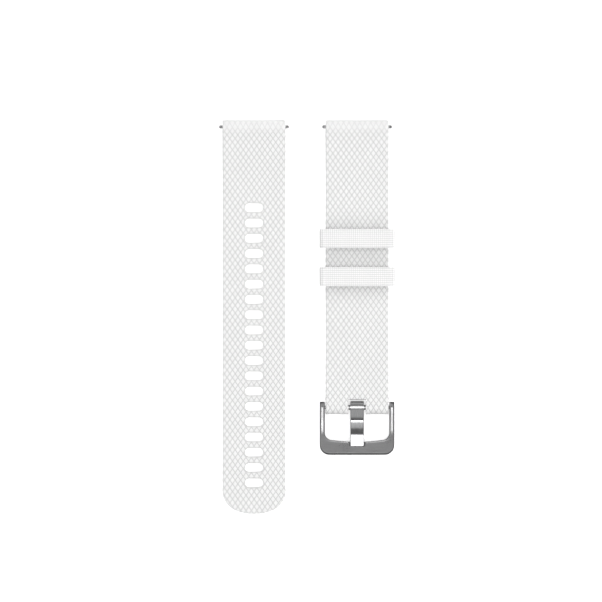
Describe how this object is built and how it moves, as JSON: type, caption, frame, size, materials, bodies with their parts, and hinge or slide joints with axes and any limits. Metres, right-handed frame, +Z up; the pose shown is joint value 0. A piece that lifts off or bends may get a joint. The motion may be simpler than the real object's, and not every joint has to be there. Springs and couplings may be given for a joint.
{
  "type": "quick-release watch strap",
  "caption": "Two-piece white woven watch strap with quick-release spring bars, sliding keepers and a steel pin buckle, laid flat.",
  "frame": {"origin": "centre of the footprint, on the surface that the two halves lie on", "axes": "+Z up, out of the front faces; +Y along both halves towards their lug ends; +X from the punched half to the buckle half"},
  "size_m": [0.0552, 0.124, 0.007],
  "materials": {
    "strap_webbing": "white woven webbing with a raised diamond weave",
    "strap_lining": "white woven rear ply with the same weave",
    "bonding_film": "thin flexible bonding film",
    "keeper_weave": "white fine plain-weave tape",
    "buckle_steel": "brushed stainless steel",
    "tongue_steel": "polished stainless steel",
    "pin_steel": "turned stainless steel",
    "spring_steel": "drawn spring wire"
  },
  "bodies": {
    "long_strap": {"long_webbing": "strap_webbing", "long_lining": "strap_lining", "long_bonding_film": "bonding_film"},
    "long_bar": {"long_bar_tube": "pin_steel", "long_bar_fixed_tip": "pin_steel", "long_bar_spring": "spring_steel"},
    "long_release": {"long_bar_plunger": "pin_steel", "long_bar_release_knob": "pin_steel"},
    "short_strap": {"short_webbing": "strap_webbing", "short_lining": "strap_lining", "short_bonding_film": "bonding_film"},
    "short_bar": {"short_bar_tube": "pin_steel", "short_bar_fixed_tip": "pin_steel", "short_bar_spring": "spring_steel"},
    "short_release": {"short_bar_plunger": "pin_steel", "short_bar_release_knob": "pin_steel"},
    "upper_keeper_loop": {"upper_keeper": "keeper_weave"},
    "lower_keeper_loop": {"lower_keeper": "keeper_weave"},
    "buckle": {"buckle_frame": "buckle_steel", "buckle_bar_tube": "pin_steel", "buckle_bar_spring": "spring_steel"},
    "tongue": {"buckle_tongue": "tongue_steel"},
    "left_plunger": {"buckle_bar_left_plunger": "pin_steel"},
    "right_plunger": {"buckle_bar_right_plunger": "pin_steel"}
  },
  "joints": [
    {"name": "long_bar_turn", "type": "hinge", "parent": "long_strap", "child": "long_bar", "pos_m": [-0.01666, 0.05975, 0.00225], "axis": [1, 0, 0], "range_deg": [-20, 20]},
    {"name": "long_release_slide", "type": "slide", "parent": "long_bar", "child": "long_release", "axis": [-1, 0, 0], "range_m": [0, 0.0012], "stiffness_N_per_m": 300, "springref_m": -0.001, "deforming": ["long_bar_spring"]},
    {"name": "short_half_place", "type": "slide", "parent": "long_strap", "child": "short_strap", "axis": [1, 0, 0], "range_m": [0, 0.03]},
    {"name": "short_bar_turn", "type": "hinge", "parent": "short_strap", "child": "short_bar", "pos_m": [0.01574, 0.05975, 0.00225], "axis": [1, 0, 0], "range_deg": [-20, 20]},
    {"name": "short_release_slide", "type": "slide", "parent": "short_bar", "child": "short_release", "axis": [-1, 0, 0], "range_m": [0, 0.0012], "stiffness_N_per_m": 300, "springref_m": -0.001, "deforming": ["short_bar_spring"]},
    {"name": "upper_keeper_slide", "type": "slide", "parent": "short_strap", "child": "upper_keeper_loop", "axis": [0, 1, 0], "range_m": [-0.0028, 0.025]},
    {"name": "lower_keeper_slide", "type": "slide", "parent": "short_strap", "child": "lower_keeper_loop", "axis": [0, 1, 0], "range_m": [-0.03, 0.0028]},
    {"name": "buckle_frame_turn", "type": "hinge", "parent": "short_strap", "child": "buckle", "pos_m": [0.01574, -0.02845, 0.00225], "axis": [-1, 0, 0], "range_deg": [-95, 35]},
    {"name": "buckle_tongue_turn", "type": "hinge", "parent": "buckle", "child": "tongue", "pos_m": [0.01574, -0.02845, 0.00225], "axis": [-1, 0, 0], "range_deg": [0, 90]},
    {"name": "left_plunger_slide", "type": "slide", "parent": "buckle", "child": "left_plunger", "axis": [1, 0, 0], "range_m": [0, 0.001], "stiffness_N_per_m": 300, "springref_m": -0.001, "deforming": ["buckle_bar_spring"]},
    {"name": "right_plunger_slide", "type": "slide", "parent": "buckle", "child": "right_plunger", "axis": [-1, 0, 0], "range_m": [0, 0.001], "stiffness_N_per_m": 300, "springref_m": -0.001, "deforming": ["buckle_bar_spring"]}
  ]
}
